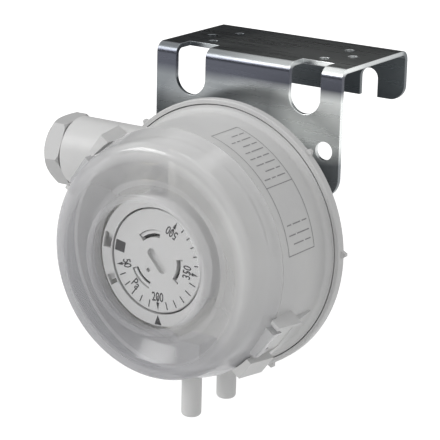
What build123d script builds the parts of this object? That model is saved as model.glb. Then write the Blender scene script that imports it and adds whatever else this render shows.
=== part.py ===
"""Differential pressure switch: a round two-part housing with a diaphragm between its halves, a scale dial
under a clear click-fit cover, a cable gland, two hose spigots and a folded sheet-steel wall bracket.

Millimetres. The origin is on the wall face of the bracket, midway between its two wall slots.
+X is to the right of someone who reads the dial, +Y goes into the wall and +Z is up.
A depth is measured forward (towards -Y) from the front face of the bracket's front plate.
"""

from build123d import *
from math import cos, radians, sin
import os

os.makedirs("parts", exist_ok=True)

# Bracket: a strip of galvanised sheet folded into a hanging U
sheet = 1.5
bracket_width = 67.4
bracket_depth = 40.3
shelf_height = 10.4
wall_flange_drop = 16.3
front_plate_drop = 40.2
bend_radius = 3.3
plate_corner_radius = 6.8
flange_corner_radius = 5.0
wall_slot_spacing = 42.0
wall_slot_width = 6.3
driver_slot_spacing = 41.7
driver_slot_width = 11.0
driver_slot_drop = 15.2
driver_slot_in_shelf = 7.6
plate_hole_spacing = 56.6
plate_hole_height = 28.7
plate_hole_width = 5.8
shelf_hole_width = 3.4
shelf_hole_spacing = 40.8
shelf_hole_depth = 19.5
shelf_hole_pitch = 15.0
shelf_hole_outset = 5.6

# Where the switch hangs on the bracket
axis_drop = 43.8
switch_screw_inset = 5.8
switch_screw_angle = 47.7
screw_hole_clearance = 0.35
bracket_screw_radius = 1.5
bracket_screw_reach = 6.5
bracket_screw_head_radius = 2.9
bracket_screw_head = 1.8
recess_length = 2.8
recess_width = 0.7
recess_depth = 0.9

# Housing halves: the barrel in front, and the rear cup whose rim overhangs it
barrel_radius = 38.6
barrel_draft = 0.3
barrel_front = 36.8
barrel_foot_fillet = 1.9
wall_thickness = 2.2
chamber_inset = 3.1
flange_overhang = 2.1
rim_overhang = 3.9
rim_start = 10.0
parting_depth = 12.7
parting_gap = 0.35
rim_step = 2.5
rear_taper = 4.6
rear_wall = 2.4
floor_thickness = 2.2
seat_depth = 10.6
neck_inset = 2.4
neck_height = 2.8
neck_wall = 1.8
shoulder_wall = 1.2
shoulder_slope = 1.3
partition_depth = 18.0
partition_thickness = 2.0
partition_clearance = 0.05
ledge_width = 1.5
ledge_thickness = 1.6
stop_ring_inset = 1.5
stop_ring_wall = 1.6
rib_count = 6
rib_thickness = 1.2
rib_height = 3.2
screw_boss_radius = 3.5
screw_boss_end = 7.6
foot_rounding = 1.2
rim_rounding = 0.4
rim_tab_root = 2.8
rim_tab_taper = 60
rim_tab_reach = 1.3
rim_tab_thickness = 1.3
rim_tab_angles = (2, 46, 134, 178, 243.7, 296.3)

# Hose spigots
port_radius = 3.15
port_bore_radius = 1.7
port_length = 16.2
port_rounding = 1.3
port_root = 2.0
port_collar_radius = 3.9
port_collar_reach = 0.3
high_port_depth = 7.0
low_port_depth = 26.4
duct_inset = 2.5
duct_bore_radius = 1.6
duct_width = 9.0
duct_wall = 1.2

# Diaphragm and what it lifts
rubber = 0.5
roll_clearance = 1.8
roll_size = 3.0
roll_height = 2.8
roll_slope = 70
bead_inset = 2.2
bead_width = 1.4
bead_height = 1.1
bead_clearance = 0.1
diaphragm_edge = 1.1
plate_inset = 2.2
plate_thickness = 1.2
plate_rim_height = 0.6
plate_rim_width = 1.1
lift_travel = 0.8
hub_radius = 3.6
hub_height = 2.4
stem_radius = 1.5
washer_radius = 12.0
washer_thickness = 0.6
rivet_radius = 2.4
rivet_height = 0.8
lift_pin_radius = 1.3
lift_pin_height = 17.5
pin_clearance = 0.3
pin_seal_radius = 2.5
pin_seal_thickness = 1.2

# Spring, seat and spindle
tube_radius = 6.6
tube_wall = 3.9
tube_length = 17.0
spring_radius = 4.8
wire_radius = 0.4
wire_sides = 8
spring_turns = 5.5
spring_end_gap = 0.1
seat_place = 10.0
seat_thickness = 3.0
seat_clearance = 0.3
seat_boss_height = 1.2
seat_boss_radius = 4.0
key_width = 3.0
key_depth = 1.8
key_clearance = 0.1
keyway_end_wall = 2.5
screw_radius = 3.0
screw_tip_chamfer = 0.6
screw_overrun = 4.5
running_gap = 0.05
spindle_flange_radius = 10.6
spindle_flange_thickness = 1.9
journal_radius = 9.35
journal_wall = 1.35
journal_floor = 2.3
ring_section = 0.5
ring_radius = 8.55

# Dial and its collar
dial_radius = 15.8
dial_height = 9.1
dial_thickness = 2.0
dial_chamfer = 0.25
window_in_radius = 7.2
window_out_radius = 9.5
window_half_angle = 25
window_angles = (-12, 108, 228)
hook_width = 1.0
hook_clearance = 0.2
slot_length = 8.6
slot_width = 2.8
slot_depth = 1.3
slot_angle = -48
dot_radius = 0.65
dot_depth = 1.0
dot_place = (-3.0, -3.3)
lug_height = 1.5
lug_play = 1.5
collar_floor = 3.0
collar_wall = 1.5
collar_gap = 0.5
collar_rim_width = 3.6
collar_rim_thickness = 0.9
collar_rim_rise = 0.2
collar_window_margin = 0.4
collar_window_angles = ((162, 15), (203, 10))
collar_post_radius = 3.2
collar_post_circle = 13.4
collar_post_angles = (30, 150, 270)
small_screw_radius = 1.0
small_head_radius = 2.0
small_head_height = 1.4
small_recess_length = 2.2
small_screw_length = 9.0
small_hole_clearance = 0.15

# Microswitch, on a carrier wall of the partition
switch_x = -8.0
switch_width = 6.4
switch_bottom = 13.8
switch_length = 19.8
switch_standoff = 7.0
switch_height = 7.0
lever_thickness = 0.5
lever_width = 4.0
lever_gap = 0.3
lever_pin_radius = 0.4
lever_eye_radius = 0.85
lever_eye_gap = 0.1
lever_tip_inset = 18.1
cheek_height = 2.9
cheek_reach = 2.5
cheek_gap = 0.1
lever_hinge_inset = 1.4
plunger_inset = 12.6
plunger_radius = 0.9
plunger_hole_depth = 3.1
plunger_length = 3.0
tab_width = 4.8
tab_thickness = 0.6
tab_reach = 7.0
tab_root = 2.4
tab_insets = (11.3, 6.3, 1.6)
tab_hole_radius = 0.8
tab_corner = 1.0
carrier_thickness = 2.4
carrier_foot = 1.2
carrier_head = 1.6
switch_screw_bite = 2.0
switch_screw_rise = 2.4
switch_screw_insets = (16.0, 5.0)

# Clear cover
cover_lip_gap = 0.4
cover_lip_inset = 0.2
cover_draft = 0.23
cover_wall = 1.6
cover_stop_width = 0.6
cover_clearance = 0.2
cover_inner_draft = 0.18
cover_shoulder_share = 0.72
cover_tab_room = 9.0
cover_land_share = 0.55
cover_inner_land_share = 0.7
cover_land_round_share = 0.41
cover_dish_drop = 3.4
cover_dish_width = 1.7
cover_dish_fillet = 1.2
window_rim_room = 3.1
window_lean = 1.6
window_room = 4.7
window_fillet = 0.8

# Snap ears at the cover's edge: a wedge with a recess for two claws, and a foot behind it
ear_angles = (-36, 144)
ear_half_width = 11.5
ear_step_depth = 29.0
ear_front_rise = 1.6
ear_rear_rise = 3.0
ear_foot_depth = 16.5
ear_foot_rise = 1.0
ear_foot_half_width = 8.0
ear_root = 3.0
ear_recess_shift = 2.8
ear_recess_half_width = 7.4
ear_recess_rear = 24.0
ear_recess_rise = 0.3
claw_shift = 3.2
claw_width = 2.0
claw_offset = 3.6
claw_reach = 2.2
claw_rise = 1.6
claw_gap = 0.3
claw_plate_half_width = 5.2
claw_height = 2.8

# Cable gland
gland_depth = 24.0
gland_height = 22.0
boss_radius = 10.8
boss_overhang = 6.9
boss_rounding = 0.7
gland_root_radius = 7.2
gland_root_length = 4.0
gland_neck_radius = 8.0
gland_neck_length = 5.1
gland_neck_wall = 1.1
cable_passage_radius = 3.8
seal_bore_radius = 3.6
seal_clearance = 0.1
seal_length = 5.2
nut_sides = 6
nut_across_flats = 20.0
nut_turn = 6
nut_length = 6.8
nut_gap = 0.3
nut_end_wall = 1.3
nut_hole_radius = 4.4
nut_chamfer = 2.2
nut_chamfer_width = 0.9
nut_rear_chamfer = 0.7
washer_gap = 0.1
gland_washer_thickness = 0.5

plate_y = -bracket_depth
axis_z = -axis_drop
boss_end = barrel_radius + boss_overhang
switch_axis = Axis((0, plate_y, axis_z), (0, -1, 0))
gland_axis = Axis((-boss_end, plate_y - gland_depth, axis_z + gland_height), (-1, 0, 0))


def facing(depth):
    """A plane across the switch axis that faces forward; its local Y is up."""
    return Plane(origin=(0, plate_y - depth, axis_z), x_dir=(1, 0, 0), z_dir=(0, -1, 0))


def radial_section(angle):
    """A plane through the switch axis: local X is the radius at this angle, local Y is the depth."""
    across = (cos(radians(angle)), 0, sin(radians(angle)))
    normal = (sin(radians(angle)), 0, -cos(radians(angle)))
    return Plane(origin=(0, plate_y, axis_z), x_dir=across, z_dir=normal)


def side_facing(x):
    """A plane that faces left (-X): local X is the depth, local Y is the height above the switch axis."""
    return Plane(origin=(x, plate_y, axis_z), x_dir=(0, -1, 0), z_dir=(-1, 0, 0))


def level(height, x=0.0):
    """A plane that faces up at this height above the switch axis: local X is X, local Y is minus the depth."""
    return Plane(origin=(x, plate_y, axis_z + height), x_dir=(1, 0, 0), z_dir=(0, 0, 1))


def gland_facing(outward):
    """A plane across the gland's axis that faces outward (-X), this far beyond the boss's end."""
    origin = (-boss_end - outward, plate_y - gland_depth, axis_z + gland_height)
    return Plane(origin=origin, x_dir=(0, -1, 0), z_dir=(-1, 0, 0))


def gland_section():
    """A plane through the gland's axis: local X is the radius, local Y goes outward from the boss's end."""
    origin = (-boss_end, plate_y - gland_depth, axis_z + gland_height)
    return Plane(origin=origin, x_dir=(0, 0, 1), z_dir=(0, -1, 0))


# Radii round the switch axis
rim_radius = barrel_radius + rim_overhang
flange_radius = barrel_radius + flange_overhang
chamber_radius = barrel_radius - chamber_inset
neck_radius = barrel_radius - neck_inset
rear_rim_radius = rim_radius - rim_step
rear_back_radius = rear_rim_radius - rear_taper
groove_radius = flange_radius + parting_gap
bead_radius = chamber_radius + bead_inset
diaphragm_radius = flange_radius - diaphragm_edge
roll_radius = chamber_radius - roll_clearance - roll_size
plate_radius = roll_radius - roll_size - plate_inset
stop_ring_radius = plate_radius - stop_ring_inset
port_reach = barrel_radius + port_length
duct_height = chamber_radius - duct_inset
stop_radius = neck_radius - cover_stop_width
seal_radius = gland_neck_radius - gland_neck_wall - seal_clearance
collar_radius = dial_radius + collar_gap
collar_rim_radius = collar_radius + collar_rim_width

# Depths along the switch axis
membrane_front = seat_depth + rubber
plate_front = membrane_front + plate_thickness
partition_front = partition_depth + partition_thickness
tube_front = partition_front + tube_length
seat_height = partition_front + seat_place
screw_end = seat_height - screw_overrun
flange_rear = tube_front + running_gap
flange_front = flange_rear + spindle_flange_thickness
collar_front = tube_front + collar_floor
dial_front = tube_front + dial_height
dial_back = dial_front - dial_thickness
collar_rim_front = dial_front + collar_rim_rise
switch_rear = partition_front + switch_standoff
switch_front = switch_rear + switch_height
tab_front = switch_front + tab_reach
neck_front = barrel_front + neck_height
hinge_depth = switch_rear - lever_eye_radius - lever_eye_gap
leaf_rear = hinge_depth - lever_thickness / 2
leaf_front = hinge_depth + lever_thickness / 2

# The microswitch's heights above the switch axis
switch_top = switch_bottom + switch_length
hinge_height = switch_top - lever_hinge_inset
plunger_height = switch_top - plunger_inset
tab_heights = [switch_top - inset for inset in tab_insets]

# The cover's profile
cover_lip_depth = barrel_front + cover_lip_gap
cover_lip_radius = barrel_radius - cover_lip_inset
cover_front = tab_front + cover_tab_room
cover_front_radius = cover_lip_radius - cover_draft * (cover_front - cover_lip_depth)
cover_dish_depth = cover_front - cover_dish_drop
window_base_radius = collar_rim_radius + window_rim_room
window_top_radius = window_base_radius - window_lean
cover_dish_radius = window_base_radius + cover_dish_width
cover_land_radius = cover_dish_radius + cover_land_share * (cover_front_radius - cover_dish_radius)
cover_shoulder_radius = cover_shoulder_share * (cover_front_radius - cover_land_radius)
cover_land_fillet = cover_land_round_share * (cover_front_radius - cover_land_radius)
inner_dish_radius = cover_dish_radius + cover_wall / 3
inner_shoulder_radius = stop_radius - cover_inner_draft * (cover_front - neck_front)
inner_land_radius = inner_dish_radius + cover_inner_land_share * (inner_shoulder_radius - inner_dish_radius)
window_front = dial_front + window_room + cover_wall

# Places that several pieces share
screw_circle = chamber_radius - switch_screw_inset
screw_x = screw_circle * cos(radians(switch_screw_angle))
screw_height = screw_circle * sin(radians(switch_screw_angle))
switch_screws_at = ((-screw_x, screw_height), (screw_x, screw_height))
body_screws_at = [(switch_rear + switch_screw_rise, switch_top - inset) for inset in switch_screw_insets]
collar_posts_at = [
    (collar_post_circle * cos(radians(angle)), collar_post_circle * sin(radians(angle)))
    for angle in collar_post_angles
]

# Wall bracket: wall flange, shelf and front plate in one folded strip
with BuildPart() as mounting_bracket:
    with BuildSketch(Plane(origin=(0, 0, 0), x_dir=(0, -1, 0), z_dir=(-1, 0, 0))) as fold:
        with BuildLine():
            Polyline(
                (0, shelf_height - wall_flange_drop),
                (0, shelf_height),
                (bracket_depth, shelf_height),
                (bracket_depth, shelf_height - front_plate_drop),
                (bracket_depth - sheet, shelf_height - front_plate_drop),
                (bracket_depth - sheet, shelf_height - sheet),
                (sheet, shelf_height - sheet),
                (sheet, shelf_height - wall_flange_drop),
                close=True,
            )
        make_face()
        fillet(fold.vertices().group_by(Axis.Y)[-1], bend_radius)
        under_shelf = shelf_height - sheet
        fillet(fold.vertices().filter_by_position(Axis.Y, under_shelf - 0.01, under_shelf + 0.01), bend_radius - sheet)
    extrude(amount=bracket_width / 2, both=True)
    for foot, corner_radius in ((front_plate_drop, plate_corner_radius), (wall_flange_drop, flange_corner_radius)):
        across = mounting_bracket.edges().filter_by(Axis.Y)
        fillet(across.filter_by_position(Axis.Z, shelf_height - foot - 0.01, shelf_height - foot + 0.01), corner_radius)
    with BuildSketch(Plane(origin=(0, plate_y, 0), x_dir=(1, 0, 0), z_dir=(0, -1, 0))):
        slot_centre = shelf_height - driver_slot_drop + driver_slot_width / 2
        with Locations((-driver_slot_spacing / 2, slot_centre), (driver_slot_spacing / 2, slot_centre)):
            Circle(driver_slot_width / 2)
            Rectangle(driver_slot_width, driver_slot_drop, align=(Align.CENTER, Align.MIN))
    extrude(amount=-driver_slot_in_shelf, mode=Mode.SUBTRACT)
    with BuildSketch(Plane(origin=(0, 0, 0), x_dir=(1, 0, 0), z_dir=(0, -1, 0))):
        with Locations((-wall_slot_spacing / 2, 0), (wall_slot_spacing / 2, 0)):
            Circle(wall_slot_width / 2)
            Rectangle(wall_slot_width, wall_flange_drop, align=(Align.CENTER, Align.MAX))
    extrude(amount=sheet, mode=Mode.SUBTRACT)
    with BuildSketch(facing(0)):
        with Locations((-plate_hole_spacing / 2, plate_hole_height), (plate_hole_spacing / 2, plate_hole_height)):
            Circle(plate_hole_width / 2)
        with Locations(*switch_screws_at):
            Circle(bracket_screw_radius + screw_hole_clearance)
    extrude(amount=-sheet, mode=Mode.SUBTRACT)
    with BuildSketch(Plane(origin=(0, plate_y, shelf_height), x_dir=(1, 0, 0), z_dir=(0, 0, 1))):
        for side in (-1, 1):
            with Locations(
                (side * shelf_hole_spacing / 2, shelf_hole_depth - shelf_hole_pitch / 2),
                (side * shelf_hole_spacing / 2, shelf_hole_depth + shelf_hole_pitch / 2),
                (side * (shelf_hole_spacing / 2 + shelf_hole_outset), shelf_hole_depth),
            ):
                Circle(shelf_hole_width / 2)
    extrude(amount=-sheet, mode=Mode.SUBTRACT)
mounting_bracket.part.label = "mounting_bracket"
export_step(mounting_bracket.part, "parts/mounting_bracket.step")

# Two pan-head screws from behind the front plate into the rear housing's bosses
with BuildPart() as bracket_screws:
    with BuildSketch(facing(-sheet)):
        with Locations(*switch_screws_at):
            Circle(bracket_screw_head_radius)
    extrude(amount=-bracket_screw_head)
    fillet(bracket_screws.edges().group_by(Axis.Y)[-1], bracket_screw_head / 3)
    with BuildSketch(facing(-sheet)):
        with Locations(*switch_screws_at):
            Circle(bracket_screw_radius)
    extrude(amount=sheet + bracket_screw_reach)
    with BuildSketch(facing(-sheet - bracket_screw_head)):
        with Locations(*switch_screws_at):
            Rectangle(recess_length, recess_width)
            Rectangle(recess_width, recess_length)
    extrude(amount=recess_depth, mode=Mode.SUBTRACT)
bracket_screws.part.label = "bracket_screws"
export_step(bracket_screws.part, "parts/bracket_screws.step")

# Rear housing: the pressure side's tapered cup, with the ledge and groove that hold the diaphragm's edge
with BuildPart() as rear_housing:
    with BuildSketch(radial_section(0)) as cup:
        with BuildLine():
            Polyline(
                (0, 0),
                (rear_back_radius, 0),
                (rear_rim_radius, rim_start),
                (rim_radius, rim_start),
                (rim_radius, parting_depth),
                (0, parting_depth),
                close=True,
            )
        make_face()
        fillet(cup.vertices().sort_by_distance((rear_back_radius, 0))[0], foot_rounding)
        fillet(cup.vertices().sort_by_distance((rim_radius, parting_depth))[0], rim_rounding)
    revolve(axis=switch_axis)
    with BuildSketch(facing(rim_start)):
        for angle in rim_tab_angles:
            with PolarLocations(rim_radius - rim_rounding, 1, start_angle=angle):
                tab_length = rim_rounding + rim_tab_reach
                Trapezoid(rim_tab_root, tab_length, rim_tab_taper, rotation=-90, align=(Align.CENTER, Align.MIN))
    extrude(amount=rim_tab_thickness)
    with BuildSketch(Plane(origin=(0, plate_y - high_port_depth, axis_z - port_reach))):
        Circle(port_radius)
    extrude(amount=port_reach - chamber_radius)
    fillet(rear_housing.edges().group_by(Axis.Z)[0], port_rounding)
    with BuildSketch(Plane(origin=(0, plate_y - high_port_depth, axis_z - rim_radius - port_collar_reach))):
        Circle(port_collar_radius)
    extrude(amount=rim_radius + port_collar_reach - chamber_radius)
    with BuildSketch(radial_section(0)):
        with BuildLine():
            Polyline(
                (0, floor_thickness),
                (rear_back_radius + rear_taper * floor_thickness / rim_start - rear_wall, floor_thickness),
                (chamber_radius, seat_depth),
                (bead_radius - bead_width / 2 - bead_clearance, seat_depth),
                (bead_radius - bead_width / 2 - bead_clearance, seat_depth - bead_height - bead_clearance),
                (bead_radius + bead_width / 2 + bead_clearance, seat_depth - bead_height - bead_clearance),
                (bead_radius + bead_width / 2 + bead_clearance, seat_depth),
                (groove_radius, seat_depth),
                (groove_radius, parting_depth),
                (0, parting_depth),
                close=True,
            )
        make_face()
    revolve(axis=switch_axis, mode=Mode.SUBTRACT)
    with BuildSketch(facing(floor_thickness)):
        with PolarLocations(chamber_radius / 2, rib_count):
            Rectangle(rear_back_radius - 2 * rear_wall, rib_thickness)
    extrude(amount=rib_height)
    with BuildSketch(facing(0)):
        with Locations(*switch_screws_at):
            Circle(screw_boss_radius)
    extrude(amount=screw_boss_end)
    with BuildSketch(facing(0)):
        with Locations(*switch_screws_at):
            Circle(bracket_screw_radius)
    extrude(amount=bracket_screw_reach, mode=Mode.SUBTRACT)
    with BuildSketch(Plane(origin=(0, plate_y - high_port_depth, axis_z - port_reach))):
        Circle(port_bore_radius)
    extrude(amount=port_reach - chamber_radius + port_root, mode=Mode.SUBTRACT)
rear_housing.part.label = "rear_housing"
export_step(rear_housing.part, "parts/rear_housing.step")

# Diaphragm: flat centre, one raised convolution, and a bead in the rear housing's groove
with BuildPart() as diaphragm:
    with BuildSketch(radial_section(0)):
        with Locations((roll_radius, seat_depth)):
            Trapezoid(2 * roll_size, roll_height, roll_slope, align=(Align.CENTER, Align.MIN))
            hollow = 2 * (roll_size - rubber)
            Trapezoid(hollow, roll_height - rubber, roll_slope, align=(Align.CENTER, Align.MIN), mode=Mode.SUBTRACT)
        with Locations((stem_radius, seat_depth)):
            Rectangle(roll_radius - roll_size + rubber - stem_radius, rubber, align=(Align.MIN, Align.MIN))
        with Locations((diaphragm_radius, seat_depth)):
            Rectangle(diaphragm_radius - roll_radius - roll_size + rubber, rubber, align=(Align.MAX, Align.MIN))
        with Locations((bead_radius, seat_depth)):
            Rectangle(bead_width, bead_height, align=(Align.CENTER, Align.MAX))
    revolve(axis=switch_axis)
diaphragm.part.label = "diaphragm"
export_step(diaphragm.part, "parts/diaphragm.step")

# Plate on the diaphragm's front, with the spring's hub, the riveted stem and the pin that works the lever
with BuildPart() as diaphragm_plate:
    with BuildSketch(radial_section(0)):
        with BuildLine():
            Polyline(
                (0, seat_depth - washer_thickness - rivet_height),
                (rivet_radius, seat_depth - washer_thickness - rivet_height),
                (rivet_radius, seat_depth - washer_thickness),
                (stem_radius, seat_depth - washer_thickness),
                (stem_radius, membrane_front),
                (plate_radius, membrane_front),
                (plate_radius, plate_front + plate_rim_height),
                (plate_radius - plate_rim_width, plate_front + plate_rim_height),
                (plate_radius - plate_rim_width, plate_front),
                (hub_radius, plate_front),
                (hub_radius, plate_front + hub_height),
                (0, plate_front + hub_height),
                close=True,
            )
        make_face()
    revolve(axis=switch_axis)
    with BuildSketch(facing(membrane_front)):
        with Locations((switch_x, lift_pin_height)):
            Circle(lift_pin_radius)
    extrude(amount=leaf_rear - lever_gap - membrane_front)
    fillet(diaphragm_plate.edges().group_by(Axis.Y)[0], lift_pin_radius / 2)
diaphragm_plate.part.label = "diaphragm_plate"
export_step(diaphragm_plate.part, "parts/diaphragm_plate.step")

with BuildPart() as diaphragm_washer:
    with BuildSketch(facing(seat_depth - washer_thickness)):
        Circle(washer_radius)
        Circle(stem_radius, mode=Mode.SUBTRACT)
    extrude(amount=washer_thickness)
diaphragm_washer.part.label = "diaphragm_washer"
export_step(diaphragm_washer.part, "parts/diaphragm_washer.step")

# Front housing: barrel, ledge for the partition, snap ears, gland boss and the second spigot with its duct
with BuildPart() as front_housing:
    with BuildSketch(radial_section(0)) as shell:
        with BuildLine():
            Polyline(
                (0, membrane_front),
                (flange_radius, membrane_front),
                (flange_radius, parting_depth),
                (barrel_radius, parting_depth),
                (barrel_radius - barrel_draft, barrel_front),
                (0, barrel_front),
                close=True,
            )
        make_face()
        fillet(shell.vertices().sort_by_distance((barrel_radius, parting_depth))[0], barrel_foot_fillet)
    revolve(axis=switch_axis)
    for angle in ear_angles:
        with BuildSketch(radial_section(angle)):
            with BuildLine():
                Polyline(
                    (barrel_radius - ear_root, ear_step_depth),
                    (barrel_radius + ear_rear_rise, ear_step_depth),
                    (barrel_radius + ear_front_rise, neck_front),
                    (barrel_radius - ear_root, neck_front),
                    close=True,
                )
            make_face()
        extrude(amount=ear_half_width, both=True)
        with BuildSketch(radial_section(angle)):
            with BuildLine():
                Polyline(
                    (barrel_radius - ear_root, ear_foot_depth),
                    (barrel_radius - barrel_draft, ear_foot_depth),
                    (barrel_radius + ear_foot_rise, ear_step_depth),
                    (barrel_radius - ear_root, ear_step_depth),
                    close=True,
                )
            make_face()
        extrude(amount=ear_foot_half_width, both=True)
    for angle in ear_angles:
        with BuildSketch(radial_section(angle).offset(-ear_recess_shift)):
            with BuildLine():
                Polyline(
                    (barrel_radius + ear_recess_rise, ear_recess_rear),
                    (barrel_radius + 2 * ear_rear_rise, ear_recess_rear),
                    (barrel_radius + 2 * ear_rear_rise, neck_front),
                    (neck_radius, neck_front),
                    (neck_radius, barrel_front),
                    (barrel_radius + ear_recess_rise, barrel_front),
                    close=True,
                )
            make_face()
        extrude(amount=ear_recess_half_width, both=True, mode=Mode.SUBTRACT)
    with BuildSketch(radial_section(0)):
        with Locations((0, barrel_front)):
            Rectangle(cover_lip_radius + cover_clearance, neck_front, align=(Align.MIN, Align.MIN))
    revolve(axis=switch_axis, mode=Mode.SUBTRACT)
    with BuildSketch(facing(parting_depth)):
        Circle(neck_radius)
    extrude(amount=neck_front - parting_depth)
    with BuildSketch(gland_facing(0)):
        Circle(boss_radius)
    extrude(amount=-(boss_end - barrel_radius / 2))
    fillet(front_housing.edges().group_by(Axis.X)[0], boss_rounding)
    with BuildSketch(Plane(origin=(0, plate_y - low_port_depth, axis_z - port_reach))):
        Circle(port_radius)
    extrude(amount=port_reach - barrel_radius + wall_thickness / 2)
    fillet(front_housing.edges().group_by(Axis.Z)[0], port_rounding)
    with BuildSketch(Plane(origin=(0, plate_y - low_port_depth, axis_z - barrel_radius - port_collar_reach))):
        Circle(port_collar_radius)
    extrude(amount=port_collar_reach + wall_thickness / 2)
    with BuildSketch(radial_section(0)):
        with BuildLine():
            Polyline(
                (0, membrane_front),
                (chamber_radius, membrane_front),
                (chamber_radius, partition_front),
                (chamber_radius - ledge_width, partition_front),
                (chamber_radius - ledge_width, partition_front + ledge_thickness),
                (barrel_radius - wall_thickness, partition_front + ledge_thickness),
                (barrel_radius - barrel_draft - wall_thickness, barrel_front - shoulder_wall - shoulder_slope),
                (neck_radius - neck_wall, barrel_front - shoulder_wall),
                (neck_radius - neck_wall, neck_front),
                (0, neck_front),
                close=True,
            )
        make_face()
    revolve(axis=switch_axis, mode=Mode.SUBTRACT)
    with BuildSketch(facing(partition_front)):
        with Locations((0, -(barrel_radius - wall_thickness / 2))):
            duct_top = barrel_radius - wall_thickness / 2 - duct_height + port_bore_radius + duct_wall
            Rectangle(duct_width, duct_top, align=(Align.CENTER, Align.MIN))
    extrude(amount=low_port_depth + port_bore_radius + duct_wall - partition_front)
    with BuildSketch(Plane(origin=(0, plate_y - low_port_depth, axis_z - port_reach))):
        Circle(port_bore_radius)
    extrude(amount=port_reach - duct_height, mode=Mode.SUBTRACT)
    with BuildSketch(facing(partition_front)):
        with Locations((0, -duct_height)):
            Circle(duct_bore_radius)
    extrude(amount=low_port_depth - partition_front, mode=Mode.SUBTRACT)
    with BuildSketch(gland_facing(0)):
        Circle(gland_root_radius + running_gap)
    extrude(amount=-gland_root_length - running_gap, mode=Mode.SUBTRACT)
    with BuildSketch(gland_facing(0)):
        Circle(cable_passage_radius)
    extrude(amount=-(boss_end - barrel_radius / 2), mode=Mode.SUBTRACT)
front_housing.part.label = "front_housing"
export_step(front_housing.part, "parts/front_housing.step")

# Partition against the ledge: stop ring, spring tube with its keyway, collar posts and the switch's carrier wall
with BuildPart() as partition:
    with BuildSketch(facing(partition_depth)):
        Circle(chamber_radius - partition_clearance)
    extrude(amount=partition_thickness)
    with BuildSketch(facing(partition_depth)):
        Circle(stop_ring_radius)
        Circle(stop_ring_radius - stop_ring_wall, mode=Mode.SUBTRACT)
    extrude(amount=-(partition_depth - plate_front - lift_travel))
    with BuildSketch(facing(partition_depth)):
        Circle(tube_radius + tube_wall)
        with Locations(*collar_posts_at):
            Circle(collar_post_radius)
    extrude(amount=tube_front - partition_depth)
    with BuildSketch(facing(partition_front)):
        with Locations((switch_x + switch_width / 2, switch_bottom + carrier_foot)):
            carrier_length = switch_length - carrier_foot - carrier_head
            Rectangle(carrier_thickness, carrier_length, align=(Align.MIN, Align.MIN))
    extrude(amount=switch_front - partition_front)
    with BuildSketch(facing(partition_depth)):
        Circle(tube_radius)
        with Locations((switch_x, lift_pin_height)):
            Circle(lift_pin_radius + pin_clearance)
    extrude(amount=tube_front - partition_depth, mode=Mode.SUBTRACT)
    with BuildSketch(facing(partition_depth)):
        with Locations((switch_x, lift_pin_height)):
            Circle(pin_seal_radius)
    extrude(amount=pin_seal_thickness, mode=Mode.SUBTRACT)
    with BuildSketch(facing(partition_depth)):
        with Locations((0, -duct_height)):
            Circle(duct_bore_radius)
    extrude(amount=partition_thickness, mode=Mode.SUBTRACT)
    with BuildSketch(facing(partition_depth)):
        key_reach = tube_radius - seat_clearance + key_depth + key_clearance
        Rectangle(2 * key_reach, key_width + 2 * key_clearance)
    extrude(amount=tube_front - keyway_end_wall - partition_depth, mode=Mode.SUBTRACT)
    with BuildSketch(facing(tube_front)):
        Circle(ring_radius + ring_section)
        Circle(ring_radius - ring_section, mode=Mode.SUBTRACT)
    extrude(amount=-(2 * ring_section - running_gap), mode=Mode.SUBTRACT)
    with BuildSketch(facing(tube_front)):
        with Locations(*collar_posts_at):
            Circle(small_screw_radius)
    extrude(amount=-(small_screw_length - collar_floor), mode=Mode.SUBTRACT)
    with BuildSketch(side_facing(switch_x + switch_width / 2)):
        with Locations(*body_screws_at):
            Circle(small_screw_radius)
    extrude(amount=-switch_screw_bite, mode=Mode.SUBTRACT)
partition.part.label = "partition"
export_step(partition.part, "parts/partition.step")

# Rubber ring round the lift pin, in a pocket on the partition's rear face
with BuildPart() as pin_seal:
    with BuildSketch(facing(partition_depth)):
        with Locations((switch_x, lift_pin_height)):
            Circle(pin_seal_radius)
            Circle(lift_pin_radius + running_gap, mode=Mode.SUBTRACT)
    extrude(amount=pin_seal_thickness)
pin_seal.part.label = "pin_seal"
export_step(pin_seal.part, "parts/pin_seal.step")

# Range spring between the diaphragm's plate and the travelling seat
with BuildPart() as range_spring:
    coil_rear = plate_front + spring_end_gap + wire_radius
    coil_length = seat_height - spring_end_gap - wire_radius - coil_rear
    with BuildLine() as coil:
        Helix(
            pitch=coil_length / spring_turns,
            height=coil_length,
            radius=spring_radius,
            center=(0, plate_y - coil_rear, axis_z),
            direction=(0, -1, 0),
        )
    with BuildSketch(Plane(origin=coil.line @ 0, z_dir=coil.line % 0)):
        RegularPolygon(wire_radius, wire_sides)
    sweep(path=coil.line, is_frenet=True)
range_spring.part.label = "range_spring"
export_step(range_spring.part, "parts/range_spring.step")

# Spring seat: a nut with two keys, drawn along the tube when the spindle turns
with BuildPart() as spring_seat:
    with BuildSketch(facing(seat_height)):
        Circle(tube_radius - seat_clearance)
        Rectangle(2 * (tube_radius - seat_clearance + key_depth), key_width)
    extrude(amount=seat_thickness)
    with BuildSketch(facing(seat_height)):
        Circle(seat_boss_radius)
    extrude(amount=-seat_boss_height)
    with BuildSketch(facing(seat_height + seat_thickness)):
        Circle(screw_radius + running_gap)
    extrude(amount=-(seat_thickness + seat_boss_height), mode=Mode.SUBTRACT)
spring_seat.part.label = "spring_seat"
export_step(spring_seat.part, "parts/spring_seat.step")

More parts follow.
